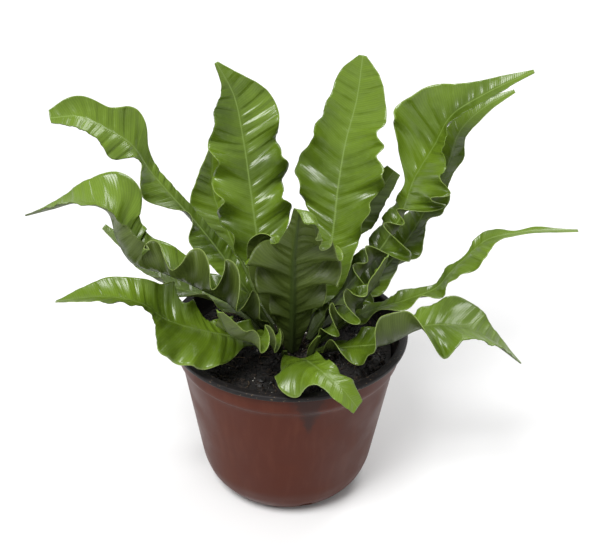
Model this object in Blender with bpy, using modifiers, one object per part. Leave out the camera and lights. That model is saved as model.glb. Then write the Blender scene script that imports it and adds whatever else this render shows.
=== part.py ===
"""A potted bird's nest fern with wavy fronds, in a round nursery pot. Metres, +Z up. The pot
stands on z = 0 with its axis on the origin, and -Y is the plant's front."""

import bmesh
import bpy
import numpy as np

MM = 0.001

# Pot, in millimetres: a round thermoformed nursery pot, 12 cm across the rim. Its wall has a
# collar under the rim, a small step, a long taper and a rounded edge to its base.
POT_HEIGHT = 90.0
RIM_RADIUS = 60.0
RIM_BAND = 2.8
RIM_ROUNDING = 1.0
COLLAR_RADIUS = RIM_RADIUS - 3.0
COLLAR_DEPTH = 12.5
COLLAR_DRAFT = 0.6
STEP_RISE = 1.5
WALL_TOP_RADIUS = RIM_RADIUS - 5.5
WALL_FOOT_RADIUS = RIM_RADIUS - 15.5
FOOT_HEIGHT = 16.0
FOOT_RADIUS = RIM_RADIUS - 28.0
WALL = 1.2
TURN_STEPS = 48

# The base's rounded edge: how far in from the wall (mm) and how high (share of FOOT_HEIGHT).
FOOT_BEND = ((2.5, 0.55), (7.0, 0.17))

# Drain holes cut through the rounded edge of the base, square to it.
DRAINS = 6
DRAIN_RADIUS = 3.5
DRAIN_FIRST = 16.0
DRAIN_TILT = 130.0
DRAIN_INSET = 5.5
DRAIN_RISE = 0.3
DRAIN_DEPTH = 10.0
DRAIN_SIDES = 12

# Soil and rhizome. The soil stands below the rim, so that the pot can be watered.
FIT_GAP = 0.4
SOIL_TOP = POT_HEIGHT - 11.0
SOIL_CROWN = 2.0
SOIL_ROUNDING = 0.6
RHIZOME_RADIUS = 4.5
RHIZOME_RISE = 2.5

# Every blade is this thick. It is divided into steps of about this length along its midrib,
# and into this many on each side of it.
BLADE = 1.2
STEP_LENGTH = 4.5
FEWEST_STEPS = 8
STEPS_SIDE = 2
LEAST_HALF_WIDTH = 0.8

# The plant grows with its pot: this is 1 in a 12 cm one.
PLANT_SCALE = RIM_RADIUS / 60.0

# Across each half, from the midrib (0) to the margin (1): the slope that the blade starts with
# (degrees), the powers by which its lift and its waves grow, how far the waves lag behind at the
# margin (share of one wave) and how far the margin is swept towards the tip (share of its width).
BASE_SLOPE = 10.0
LIFT_POWER = 0.8
WAVE_POWER = 1.2
WAVE_LAG = 0.25
SWEEP = 0.15
SWEEP_POWER = 1.5

# Colours, as sRGB hex codes.
POT_BROWN = "5C362D"
SOIL_BLACK = "1C1816"
SCALE_BROWN = "2E2A1C"
LEAF_GREEN = "5C7A2A"

# One entry a frond. path: points on its midrib, in mm from the middle of the soil. heading: the
# direction that its base faces away from the crown (degrees anticlockwise from +X). left and
# right: the half-width of each side (mm), for someone who stands at the crown and looks along the
# frond with its upper side up. left_lift and right_lift: how far each margin is turned up from
# flat (degrees). These four lists run in even steps from base to tip. waves: how many regular
# waves the blade has, and where the left and right side's first wave begins (share of one wave).
# left_wave and right_wave: the size of those waves at each margin (degrees), in even steps from
# base to tip.
FRONDS = {
    "frond_back_left": {
        "path": [(-2, 8, 4), (-12, 14, 26), (-17, 24, 47), (-21, 34, 70), (-25, 43, 93),
                 (-30, 48, 115), (-38, 46, 132)],
        "heading": 108,
        "left": [2, 3, 4, 8, 15, 18, 21, 18, 19, 16, 12, 4, 1],
        "right": [2, 5, 11, 17, 15, 20, 17, 21, 17, 20, 17, 8, 1],
        "left_lift": [8, 8],
        "right_lift": [8, 8],
        "waves": (7, 0.0, 0.2),
        "left_wave": [20, 40, 45, 40, 20],
        "right_wave": [20, 40, 45, 40, 20],
    },
    "frond_back_right": {
        "path": [(4, 8, 4), (16, 14, 27), (21, 24, 51), (23, 33, 72), (26, 41, 93),
                 (31, 47, 115), (33, 50, 136)],
        "heading": 70,
        "left": [2, 4, 6, 9, 11, 12, 13, 12, 11, 16, 20, 23, 22, 18, 19, 15, 15, 13, 12, 9, 2],
        "right": [2, 3, 4, 8, 11, 14, 15, 14, 17, 22, 20, 25, 26, 21, 22, 18, 19, 16, 14, 10, 2],
        "left_lift": [8, 8, 8, 8, 8, 8, 8, 38, 28, 8, 8],
        "right_lift": [8, 8, 8, 8, 8, 8, 8, 28, 8, 8, 8],
        "waves": (6, 0.35, 0.8),
        "left_wave": [20, 35, 35, 30, 15],
        "right_wave": [20, 35, 30, 20, 15],
    },
    "frond_rear_left": {
        "path": [(-8, 12, 3), (-21, 30, 19), (-34, 46, 40), (-42, 56, 58), (-42, 62, 79)],
        "heading": 125,
        "left": [2, 8, 15, 15, 3],
        "right": [2, 5, 14, 15, 3],
        "left_lift": [8, 8],
        "right_lift": [8, 8],
        "waves": (4, 0.0, 0.5),
        "left_wave": [28, 28],
        "right_wave": [28, 28],
    },
    "frond_arching_left": {
        "path": [(-7, 3, 4), (-27, 11, 33), (-47, 20, 57), (-60, 22, 72), (-69, 22, 84),
                 (-78, 20, 100), (-87, 17, 108), (-100, 13, 116), (-112, 8, 117)],
        "heading": 160,
        "left": [2, 4, 6, 8, 12, 12, 6, 11, 14, 6, 13, 9, 8, 3],
        "right": [2, 2, 3, 6, 7, 5, 5, 5, 5, 7, 16, 10, 10, 4],
        "left_lift": [0, 10, 20, -20, -30, -35, 60, -30, -35, 20, -50, -20, 0, 0],
        "right_lift": [0, 20, 40, 30, 20, 20, 20, 20, 20, 30, 45, 40, 30, 20],
        "waves": (4, 0.0, 0.5),
        "left_wave": [0, 0],
        "right_wave": [0, 0],
    },
    "frond_long_left": {
        "path": [(-8, -3, 5), (-21, -14, 28), (-40, -22, 45), (-57, -26, 56),
                 (-72, -27, 62), (-78, -27, 74), (-82, -25, 87), (-95, -23, 90),
                 (-108, -20, 85), (-121, -18, 80)],
        "heading": 200,
        "left": [2, 6, 12, 15, 20, 26, 24, 22, 21, 19, 14, 10, 9, 6, 4, 1],
        "right": [2, 5, 8, 10, 11, 12, 13, 15, 18, 18, 18, 24, 19, 13, 7, 1],
        "left_lift": [0, 20, 10, 60, 50, 85, 75, 80, 80, 70, 60, 10, -10, -10, 0, 0],
        "right_lift": [0, 20, 40, 40, 40, 45, 50, 50, 55, 55, 50, 55, 45, 35, 20, 0],
        "waves": (10.5, 0.0, 0.5),
        "left_wave": [0, 70, 80, 70, 0, 0, 0, 0],
        "right_wave": [0, 30, 30, 10, 0, 0, 0, 0],
    },
    "frond_low_left": {
        "path": [(-10, -10, 4), (-26, -22, 18), (-42, -30, 27), (-57, -34, 35),
                 (-68, -36, 45), (-84, -36, 48), (-107, -36, 45)],
        "heading": 205,
        "left": [2, 4, 5, 9, 17, 22, 24, 23, 22, 6, 7, 9, 11, 9, 5, 1],
        "right": [2, 4, 6, 9, 9, 8, 15, 12, 20, 15, 13, 12, 11, 8, 5, 1],
        "left_lift": [0, 10, 0, -20, -45, -55, -60, -60, -55, -20, 0, 0, 0, 0, 0, 0],
        "right_lift": [0, 20, 30, 50, 30, 20, 60, 80, 70, 60, 60, 60, 50, 40, 30, 0],
        "waves": (4, 0.0, 0.5),
        "left_wave": [0, 0],
        "right_wave": [0, 0],
    },
    "frond_mid_left": {
        "path": [(-14, 1, 3), (-27, 4, 18), (-45, 8, 23), (-61, 12, 26), (-76, 16, 37),
                 (-94, 20, 54)],
        "heading": 180,
        "left": [2, 8, 10, 9, 7, 3],
        "right": [2, 8, 10, 9, 7, 3],
        "left_lift": [8, 8],
        "right_lift": [8, 8],
        "waves": (4, 0.0, 0.5),
        "left_wave": [45, 45],
        "right_wave": [45, 45],
    },
    "frond_front": {
        "path": [(2, -13, 4), (2, -18, 28), (2, -24, 47), (2, -30, 66), (3, -37, 83),
                 (4, -45, 97), (5, -53, 104), (8, -61, 102)],
        "heading": -90,
        "left": [3, 7, 13, 20, 24, 17, 15, 15, 6],
        "right": [3, 8, 12, 18, 22, 9, 4, 3, 2],
        "left_lift": [8, 8, 8, 8, 8, -20, -90, -110, -60],
        "right_lift": [8, 8],
        "waves": (7, 0.0, 0.4),
        "left_wave": [10, 45, 60, 55, 45, 20, 0],
        "right_wave": [10, 45, 55, 55, 30, 10, 0],
    },
    "frond_broad_right": {
        "path": [(10, -2, 4), (28, 16, 23), (46, 26, 42), (56, 32, 59), (61, 35, 77),
                 (70, 36, 96), (76, 35, 111), (91, 31, 125), (112, 28, 138)],
        "heading": 20,
        "left": [2, 6, 8, 9, 9, 9, 9, 7, 5, 19, 28, 22, 12, 7, 4, 1],
        "right": [2, 5, 10, 18, 18, 14, 16, 18, 14, 14, 24, 26, 20, 15, 12, 8, 6, 5, 4, 2, 1],
        "left_lift": [0, 20, 30, 20, 40, 20, 40, 20, 60, 85, 90, 60, 40, 30, 20, 0],
        "right_lift": [0, 20, 70, -40, -20, 100, 60, -40, 90, 30, -30, -20, -20, 0, 20, 40, 20,
                       10, 0, 0, 0],
        "waves": (13, 0.0, 0.5),
        "left_wave": [0, 30, 40, 30, 10, 0, 0, 0],
        "right_wave": [0, 60, 75, 60, 20, 0, 0, 0],
    },
    "frond_slim_right": {
        "path": [(12, 7, 3), (36, 27, 14), (58, 44, 32), (72, 54, 54), (81, 60, 74),
                 (86, 62, 93), (97, 62, 106), (111, 62, 115)],
        "heading": 35,
        "left": [2, 8, 12, 12, 11, 9, 6, 1],
        "right": [2, 8, 12, 12, 11, 9, 6, 1],
        "left_lift": [8, 8],
        "right_lift": [8, 8],
        "waves": (6, 0.0, 0.5),
        "left_wave": [45, 45],
        "right_wave": [45, 45],
    },
    "frond_short_right": {
        "path": [(9, 13, 3), (19, 33, 26), (33, 47, 45), (45, 54, 60), (53, 58, 71)],
        "heading": 55,
        "left": [2, 9, 13, 12, 5],
        "right": [2, 5, 9, 10, 5],
        "left_lift": [8, 8],
        "right_lift": [8, 8],
        "waves": (3.5, 0.0, 0.5),
        "left_wave": [45, 45],
        "right_wave": [45, 45],
    },
    "frond_whip_right": {
        "path": [(15, -4, 4), (35, -6, 22), (59, -7, 33), (72, -7, 40), (78, -7, 49),
                 (86, -7, 59), (92, -7, 66), (108, -7, 71), (135, -7, 73)],
        "heading": -8,
        "left": [2, 4, 4, 5, 6, 7, 5, 3, 5, 2, 5, 5, 2, 3, 2, 1],
        "right": [2, 5, 7, 8, 8, 8, 8, 9, 9, 11, 14, 7, 3, 2, 2, 1],
        "left_lift": [0, 20, -20, 40, -20, 30, 30, 30, 20, 20, 30, 30, 20, 30, 10, 0],
        "right_lift": [0, -20, 30, -30, 30, -30, 20, -30, -10, -40, -30, 0, 0, 0, 0, 0],
        "waves": (5, 0.0, 0.5),
        "left_wave": [0, 0],
        "right_wave": [0, 0],
    },
    "frond_low_right": {
        "path": [(13, -12, 4), (28, -24, 15), (46, -31, 23), (64, -34, 35), (81, -34, 35),
                 (95, -34, 28), (111, -33, 15)],
        "heading": -30,
        "left": [2, 5, 9, 11, 11, 11, 12, 15, 20, 18, 12, 7, 1],
        "right": [2, 4, 11, 12, 14, 20, 16, 20, 15, 13, 10, 6, 1],
        "left_lift": [0, 20, -20, 40, 20, 30, 20, 30, 30, 30, 20, 10, 0],
        "right_lift": [0, 0, 80, -50, 0, 80, 90, -80, -20, -10, 0, 0, 0],
        "waves": (4, 0.0, 0.5),
        "left_wave": [0, 0],
        "right_wave": [0, 0],
    },
    "frond_drooping_front": {
        "path": [(5, -20, 4), (7, -33, 14), (11, -48, 22), (17, -60, 25), (25, -67, 22),
                 (32, -70, 14)],
        "heading": -85,
        "left": [3, 4, 7, 7, 7, 8, 9, 5],
        "right": [3, 7, 11, 18, 19, 8, 7, 4],
        "left_lift": [0, 0, 20, 30, 20, 0, -20, 0],
        "right_lift": [0, 0, -20, -70, -90, -50, -30, -20],
        "waves": (4, 0.0, 0.5),
        "left_wave": [20, 40, 40],
        "right_wave": [10, 40, 40],
    },
    "frond_young": {
        "path": [(0, -1, 6), (-8, 3, 27), (-14, 4, 47), (-14, 0, 60), (-8, -6, 65),
                 (-4, -9, 60)],
        "heading": -80,
        "left": [2, 6, 8, 7, 5, 2],
        "right": [2, 6, 8, 7, 5, 2],
        "left_lift": [8, 8],
        "right_lift": [8, 8],
        "waves": (2, 0.0, 0.5),
        "left_wave": [20, 20],
        "right_wave": [20, 20],
    },
    "frond_inner_right": {
        "path": [(10, -9, 5), (21, -13, 19), (31, -16, 31), (37, -19, 42), (42, -22, 54),
                 (45, -25, 67)],
        "heading": -25,
        "left": [2, 5, 9, 10, 10, 7, 2],
        "right": [2, 5, 13, 16, 14, 8, 2],
        "left_lift": [8, 8],
        "right_lift": [8, 8],
        "waves": (4.5, 0.0, 0.5),
        "left_wave": [40, 60, 60, 40],
        "right_wave": [40, 80, 80, 40],
    },
    "frond_inner_left": {
        "path": [(-4.5, -14, 5), (-10, -27, 22), (-19, -44, 32), (-26, -56, 44), (-30, -60, 57)],
        "heading": 235,
        "left": [2, 6, 12, 14, 10, 2],
        "right": [2, 4, 10, 12, 9, 2],
        "left_lift": [20, 20],
        "right_lift": [20, 20],
        "waves": (4.5, 0.0, 0.5),
        "left_wave": [40, 75, 75, 40],
        "right_wave": [40, 70, 70, 40],
    },
    "frond_rear_low_left": {
        "path": [(-2, 15, 3), (-8, 36, 16), (-14, 56, 22), (-20, 74, 18), (-25, 88, 7)],
        "heading": 100,
        "left": [2, 4, 11, 13, 9, 2],
        "right": [2, 6, 10, 12, 9, 2],
        "left_lift": [8, 8],
        "right_lift": [8, 8],
        "waves": (4, 0.2, 0.7),
        "left_wave": [35, 35],
        "right_wave": [35, 35],
    },
    "frond_rear_low_right": {
        "path": [(3, 17, 3), (12, 37, 16), (20, 57, 23), (27, 75, 20), (34, 89, 9)],
        "heading": 75,
        "left": [2, 6, 12, 13, 9, 2],
        "right": [2, 5, 11, 12, 9, 2],
        "left_lift": [8, 8],
        "right_lift": [8, 8],
        "waves": (4.5, 0.0, 0.5),
        "left_wave": [35, 35],
        "right_wave": [35, 35],
    },
    "sprout_front": {
        "path": [(10.5, -17, 3), (13, -20, 13), (15, -22, 20)],
        "heading": -60,
        "left": [1.5, 2.5, 2.5, 1],
        "right": [1.5, 2.5, 2.5, 1],
        "left_lift": [10, 10],
        "right_lift": [10, 10],
        "waves": (2, 0.0, 0.5),
        "left_wave": [10, 10],
        "right_wave": [10, 10],
    },
    "sprout_left": {
        "path": [(-1, -19, 3), (-1.5, -21.5, 8), (-1.5, -23.5, 12)],
        "heading": 265,
        "left": [1, 1.6, 1.6, 1],
        "right": [1, 1.6, 1.6, 1],
        "left_lift": [10, 10],
        "right_lift": [10, 10],
        "waves": (2, 0.0, 0.5),
        "left_wave": [10, 10],
        "right_wave": [10, 10],
    },
}


def clear_scene():
    for obj in list(bpy.data.objects):
        bpy.data.objects.remove(obj, do_unlink=True)


def colour(hex_code):
    """An sRGB hex colour as linear red, green, blue and alpha."""
    parts = [int(hex_code[i:i + 2], 16) / 255 for i in (0, 2, 4)]
    linear = [c / 12.92 if c <= 0.04045 else ((c + 0.055) / 1.055) ** 2.4 for c in parts]
    return (*linear, 1.0)


def material(name, hex_code, roughness):
    made = bpy.data.materials.new(name)
    made.use_nodes = True
    shader = made.node_tree.nodes["Principled BSDF"]
    shader.inputs["Base Color"].default_value = colour(hex_code)
    shader.inputs["Roughness"].default_value = roughness
    made.diffuse_color = colour(hex_code)
    return made


def collection(name):
    made = bpy.data.collections.new(name)
    bpy.context.scene.collection.children.link(made)
    return made


def new_object(name, mesh, group, skin=None):
    obj = bpy.data.objects.new(name, mesh)
    group.objects.link(obj)
    if skin:
        mesh.materials.append(skin)
    return obj


def turned(name, profile, group, skin=None):
    """A solid of revolution: a profile of (radius, height) points in mm, spun about Z."""
    mesh = bpy.data.meshes.new(name)
    points = [(r * MM, 0, z * MM) for r, z in profile]
    edges = [(i, i + 1) for i in range(len(points) - 1)]
    mesh.from_pydata(points, edges, [])
    obj = new_object(name, mesh, group, skin)
    screw = obj.modifiers.new("Turn", "SCREW")
    screw.steps = TURN_STEPS
    screw.render_steps = TURN_STEPS
    screw.use_merge_vertices = True
    screw.merge_threshold = 1e-5
    screw.use_smooth_shade = True
    return obj


def outer_wall():
    """The pot's outer side from the collar's foot down to the flat base, as (radius, height)."""
    top = POT_HEIGHT - COLLAR_DEPTH
    foot_bend = [(WALL_FOOT_RADIUS, FOOT_HEIGHT)]
    foot_bend += [(WALL_FOOT_RADIUS - inset, FOOT_HEIGHT * share) for inset, share in FOOT_BEND]
    foot_bend += [(FOOT_RADIUS, 0.0)]
    return [(COLLAR_RADIUS - COLLAR_DRAFT, top), (WALL_TOP_RADIUS, top - STEP_RISE)] + foot_bend


def inner_wall(clearance):
    """The pot's inner side from the base up to under the rim, moved inwards by a clearance."""
    inset = WALL + clearance
    step = POT_HEIGHT - COLLAR_DEPTH - STEP_RISE
    (upper_in, upper_share), (lower_in, lower_share) = FOOT_BEND
    return [
        (FOOT_RADIUS - 0.6 * inset, inset),
        (WALL_FOOT_RADIUS - lower_in - 0.75 * inset, FOOT_HEIGHT * lower_share + 0.75 * inset),
        (WALL_FOOT_RADIUS - upper_in - inset, FOOT_HEIGHT * upper_share + 0.4 * inset),
        (WALL_FOOT_RADIUS - inset, FOOT_HEIGHT + 0.2 * inset),
        (WALL_TOP_RADIUS - inset, step + 0.4 * inset),
    ]


def make_pot(group, cutters, skin):
    rim_foot = POT_HEIGHT - RIM_BAND
    collar_inner = COLLAR_RADIUS - WALL
    profile = [
        (collar_inner, POT_HEIGHT - RIM_ROUNDING),
        (collar_inner + RIM_ROUNDING, POT_HEIGHT),
        (RIM_RADIUS - RIM_ROUNDING, POT_HEIGHT),
        (RIM_RADIUS, POT_HEIGHT - RIM_ROUNDING),
        (RIM_RADIUS, rim_foot),
        (COLLAR_RADIUS, rim_foot),
    ]
    profile += outer_wall()
    profile += [(0.0, 0.0), (0.0, WALL)]
    profile += inner_wall(0.0)
    profile += [(collar_inner - COLLAR_DRAFT, POT_HEIGHT - COLLAR_DEPTH + COLLAR_DRAFT)]
    profile += [(collar_inner, POT_HEIGHT - RIM_ROUNDING)]
    pot = turned("pot", profile, group, skin)
    for index in range(DRAINS):
        turn = np.radians(DRAIN_FIRST + index * 360 / DRAINS - 90)
        mesh = bpy.data.meshes.new("drain_cutter")
        shape = bmesh.new()
        bmesh.ops.create_cone(
            shape,
            cap_ends=True,
            segments=DRAIN_SIDES,
            radius1=DRAIN_RADIUS * MM,
            radius2=DRAIN_RADIUS * MM,
            depth=DRAIN_DEPTH * MM,
        )
        shape.to_mesh(mesh)
        shape.free()
        cutter = new_object(f"drain_cutter_{index + 1}", mesh, cutters)
        across = WALL_FOOT_RADIUS - DRAIN_INSET
        up = FOOT_HEIGHT * DRAIN_RISE
        cutter.location = (across * np.cos(turn) * MM, across * np.sin(turn) * MM, up * MM)
        cutter.rotation_euler = (0, np.radians(DRAIN_TILT), turn)
        cutter.hide_render = True
        cutter.display_type = "WIRE"
        cut = pot.modifiers.new(f"Drain {index + 1}", "BOOLEAN")
        cut.operation = "DIFFERENCE"
        cut.object = cutter
    return pot


def make_soil(group, skin):
    """The root ball: it fills the pot up to a slightly domed top."""
    wall = inner_wall(FIT_GAP)
    (low_r, low_z), (high_r, high_z) = wall[-2:]
    share = (SOIL_TOP - low_z) / (high_z - low_z)
    edge = low_r + min(share, 1.0) * (high_r - low_r)
    profile = [
        (0.0, SOIL_TOP + SOIL_CROWN),
        (edge * 0.4, SOIL_TOP + SOIL_CROWN * 0.8),
        (edge * 0.8, SOIL_TOP + SOIL_CROWN * 0.3),
        (edge - SOIL_ROUNDING, SOIL_TOP - SOIL_ROUNDING),
        (edge - SOIL_ROUNDING, min(SOIL_TOP, high_z) - 3.0),
    ]
    profile += wall[-2::-1]
    profile += [(0.0, WALL + FIT_GAP)]
    return turned("soil", profile, group, skin)


def make_rhizome(group, skin):
    """The short crown that the fronds rise from, just proud of the soil."""
    low = SOIL_TOP + SOIL_CROWN + FIT_GAP
    profile = [
        (0.0, low + RHIZOME_RISE),
        (RHIZOME_RADIUS * 0.6, low + RHIZOME_RISE * 0.85),
        (RHIZOME_RADIUS, low + RHIZOME_RISE * 0.35),
        (RHIZOME_RADIUS, low),
        (0.0, low),
    ]
    return turned("rhizome", profile, group, skin)


def through(values, at):
    """A smooth curve through evenly spaced values, read at shares 0 to 1 of its length."""
    values = np.asarray(values, float)
    knots = np.linspace(0, 1, len(values))
    return cubic(knots, values, at)


def cubic(knots, values, at):
    """Hermite cubic through (knot, value) with central-difference slopes."""
    slopes = np.gradient(values, knots, axis=0)
    index = np.clip(np.searchsorted(knots, at, side="right") - 1, 0, len(knots) - 2)
    span = knots[index + 1] - knots[index]
    t = (at - knots[index]) / span
    if values.ndim == 2:
        span = span[:, None]
        t = t[:, None]
    start = values[index] * (2 * t**3 - 3 * t**2 + 1) + values[index + 1] * (3 * t**2 - 2 * t**3)
    return start + span * (slopes[index] * (t**3 - 2 * t**2 + t) + slopes[index + 1] * (t**3 - t**2))


def path_points(frond):
    """The points of a frond's path. They grow with the plant, and the base keeps its height
    above the soil."""
    path = np.asarray(frond["path"], float)
    base_height = path[0, 2] * (1 - PLANT_SCALE)
    return path * PLANT_SCALE + [0, 0, SOIL_TOP + base_height]


def midrib(frond, steps):
    """Points along a frond's midrib, with its sideways and upward directions at each one.

    The two directions are carried along the midrib without twisting about it."""
    points = path_points(frond)
    lengths = np.linalg.norm(np.diff(points, axis=0), axis=1)
    knots = np.concatenate([[0], np.cumsum(lengths)]) / lengths.sum()
    at = np.linspace(0, 1, steps + 1)
    centre = cubic(knots, points, at)
    ahead = np.gradient(centre, at, axis=0)
    ahead /= np.linalg.norm(ahead, axis=1)[:, None]
    heading = np.radians(frond["heading"])
    side = np.array([np.sin(heading), -np.cos(heading), 0.0])
    sides = []
    for direction in ahead:
        side = side - direction * (side @ direction)
        side /= np.linalg.norm(side)
        sides.append(side)
    sides = np.array(sides)
    return at, centre, ahead, sides, np.cross(sides, ahead)


def blade(frond, steps, across):
    """The frond's middle surface as a grid of points in mm, from its left margin to its right.

    Each half starts at the midrib. Going outwards, its slope turns from nearly flat to the lift
    that the frond gives for its margin, plus regular waves that grow towards the margin, and the
    half's points are the running sum of that slope, so the blade keeps its true width."""
    at, centre, ahead, sides, ups = midrib(frond, steps)
    out = np.linspace(0, 1, across + 1)
    count, left_phase, right_phase = frond["waves"]
    halves = []
    for sign, side, phase in ((-1, "left", left_phase), (1, "right", right_phase)):
        width = np.maximum(through(frond[side], at) * PLANT_SCALE, LEAST_HALF_WIDTH)[:, None]
        lift = np.radians(through(frond[side + "_lift"], at))[:, None] * out**LIFT_POWER
        size = np.radians(through(frond[side + "_wave"], at))[:, None] * out**WAVE_POWER
        size = size * np.sin(np.pi * np.clip(at * 1.1, 0, 1))[:, None]
        wave = size * np.sin(2 * np.pi * (count * at[:, None] + phase - WAVE_LAG * out))
        slope = np.radians(BASE_SLOPE) + lift + wave
        middle = (slope[:, 1:] + slope[:, :-1]) / 2
        start = np.zeros((len(at), 1))
        flat = np.concatenate([start, np.cumsum(np.cos(middle), axis=1)], axis=1) / across
        rise = np.concatenate([start, np.cumsum(np.sin(middle), axis=1)], axis=1) / across
        sweep = SWEEP * out**SWEEP_POWER * np.sin(np.pi * at)[:, None]
        halves.append(
            centre[:, None]
            + (sign * flat * width)[..., None] * sides[:, None]
            + (rise * width)[..., None] * ups[:, None]
            + (sweep * width)[..., None] * ahead[:, None]
        )
    return np.concatenate([halves[0][:, :0:-1], halves[1]], axis=1)


def make_frond(name, frond, group, skin):
    length = np.linalg.norm(np.diff(path_points(frond), axis=0), axis=1).sum()
    steps = max(FEWEST_STEPS, round(length / STEP_LENGTH))
    surface = blade(frond, steps, STEPS_SIDE) * MM
    long_count, across_count = surface.shape[:2]
    shape = bmesh.new()
    bmesh.ops.create_grid(
        shape,
        x_segments=across_count - 1,
        y_segments=long_count - 1,
        size=0.5,
    )
    for vertex in shape.verts:
        column = round((vertex.co.x + 0.5) * (across_count - 1))
        row = round((vertex.co.y + 0.5) * (long_count - 1))
        vertex.co = surface[row, column]
    mesh = bpy.data.meshes.new(name)
    shape.to_mesh(mesh)
    shape.free()
    mesh.shade_smooth()
    obj = new_object(name, mesh, group, skin)
    thicken = obj.modifiers.new("Thickness", "SOLIDIFY")
    thicken.thickness = BLADE * MM
    thicken.offset = 0.0
    return obj


def main():
    clear_scene()
    group = collection("potted_fern")
    cutters = collection("cutters")
    cutters.hide_render = True
    plastic = material("pot_plastic", POT_BROWN, 0.45)
    black_mix = material("soil_mix", SOIL_BLACK, 0.95)
    bark = material("rhizome_scales", SCALE_BROWN, 0.85)
    make_pot(group, cutters, plastic)
    make_soil(group, black_mix)
    make_rhizome(group, bark)
    for name, frond in FRONDS.items():
        green = material(name, LEAF_GREEN, 0.4)
        make_frond(name, frond, group, green)


main()
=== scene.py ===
# %% [markdown]
# # A bird's nest fern in a nursery pot
# The plant is a young bird's nest fern with wavy, strap-shaped fronds. It grows in a thin plastic
# nursery pot, terracotta outside and black inside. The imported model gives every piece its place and
# size, and this lesson gives each one its fine surface: fronds with midribs, veins and ruffled
# margins, potting mix with crumbs and perlite, and a pot with a rolled rim.

from functools import partial

import bpy
import numpy as np
from mathutils import Matrix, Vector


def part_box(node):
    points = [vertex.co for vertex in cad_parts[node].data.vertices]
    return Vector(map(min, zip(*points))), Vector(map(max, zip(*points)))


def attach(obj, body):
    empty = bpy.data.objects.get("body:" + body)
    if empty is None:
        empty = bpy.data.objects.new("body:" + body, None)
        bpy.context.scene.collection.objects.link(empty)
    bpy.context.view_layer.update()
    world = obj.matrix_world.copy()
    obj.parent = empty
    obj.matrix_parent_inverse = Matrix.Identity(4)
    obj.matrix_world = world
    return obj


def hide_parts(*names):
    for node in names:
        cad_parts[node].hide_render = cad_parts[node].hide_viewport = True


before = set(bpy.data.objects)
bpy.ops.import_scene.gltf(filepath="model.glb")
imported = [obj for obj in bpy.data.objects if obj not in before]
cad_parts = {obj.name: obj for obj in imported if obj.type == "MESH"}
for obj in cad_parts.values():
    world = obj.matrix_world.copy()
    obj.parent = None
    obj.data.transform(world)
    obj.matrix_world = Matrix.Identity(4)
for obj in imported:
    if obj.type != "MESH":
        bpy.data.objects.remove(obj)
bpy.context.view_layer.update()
MM = 0.001
SCENE = bpy.context.scene

# %% [markdown]
# ## Camera
# A product picture of a pot plant is taken from a little above the rim, so that the soil shows.
# A camera could be aimed with a constraint, but its matrix is set directly here, because the
# picture also leans by about 1.4 degrees.

# %% Camera
CAMERA_AT = np.array([5.0, -463.0, 396.0]) * MM
LOOKS_DOWN = np.radians(30.8)
LEANS = 0.0243
LENS = 66.0


def stand(thing, at, *directions):
    """Puts a camera or lamp in the scene. Its directions are the columns of its matrix: its right,
    its up, and the way back from what it faces."""
    turn = np.eye(4)
    turn[:3] = np.column_stack([*directions, at])
    thing.matrix_world = Matrix(turn.tolist())
    SCENE.collection.objects.link(thing)


def place_camera(at, looks_down, leans, lens):
    """right = cos(lean) level + sin(lean) above, and up = cos(lean) above - sin(lean) level."""
    ahead = np.array([0.0, np.cos(looks_down), -np.sin(looks_down)])
    level = np.array([1.0, 0.0, 0.0])
    above = np.cross(level, ahead)
    right = np.cos(leans) * level + np.sin(leans) * above
    up = np.cos(leans) * above - np.sin(leans) * level
    camera = bpy.data.objects.new("camera", bpy.data.cameras.new("camera"))
    camera.data.lens = lens
    camera.data.clip_start = 0.01
    stand(camera, at, right, up, -ahead)
    SCENE.camera = camera


place_camera(CAMERA_AT, LOOKS_DOWN, LEANS, LENS)
print("camera at", CAMERA_AT)

# %% [markdown]
# ## Nodes and colours
# Colours are written as the hex values that a paint program shows, and Blender's shaders want
# linear light, so one function converts them. One other function adds a shader node, gives it its
# settings, fills its inputs, and hands back one of its outputs. Each material below gets its own
# copy of it, called add. A noise's scale is its features in a metre: 1000 over their size in mm.


# %% Shader helpers
EASED = {"interpolation_type": "SMOOTHSTEP"}
# A Mix node mixes numbers, vectors or colours. Its colours are inputs 6 and 7, and output 2.
COLOURS = {"data_type": "RGBA", "out": 2}


def linear(hex_code):
    """sRGB to linear light: c / 12.92 near black, else ((c + 0.055) / 1.055) to the power 2.4."""
    parts = [int(hex_code[i : i + 2], 16) / 255 for i in (0, 2, 4)]
    light = [c / 12.92 if c <= 0.04045 else ((c + 0.055) / 1.055) ** 2.4 for c in parts]
    return (*light, 1.0)


def fill(node, inputs):
    """Fills a node's inputs from a list in its own order, or from a dict by name or number. A
    socket is linked, a hex colour is made linear, and any other value is set as it is."""
    for name, value in inputs.items() if isinstance(inputs, dict) else enumerate(inputs):
        if isinstance(value, bpy.types.NodeSocket):
            node.id_data.links.new(value, node.inputs[name])
        else:
            node.inputs[name].default_value = linear(value) if isinstance(value, str) else value


def add_node(tree, kind, inputs=(), out=0, stops=(), **settings):
    """Adds a node and returns one output. stops are a colour ramp's two (place, colour) pairs."""
    made = tree.nodes.new("ShaderNode" + kind)
    for name, value in settings.items():
        setattr(made, name, value)
    fill(made, inputs)
    if stops:
        for element, (place, hex_code) in zip(made.color_ramp.elements, stops):
            element.position = place
            element.color = linear(hex_code)
    return made.outputs[out]


def start_material(name, inputs=()):
    """A new material, its own add, and its Principled shader with these inputs filled."""
    made = bpy.data.materials.new(name)
    made.use_nodes = True
    shader = made.node_tree.nodes["Principled BSDF"]
    fill(shader, inputs)
    return made, partial(add_node, made.node_tree), shader


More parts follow.
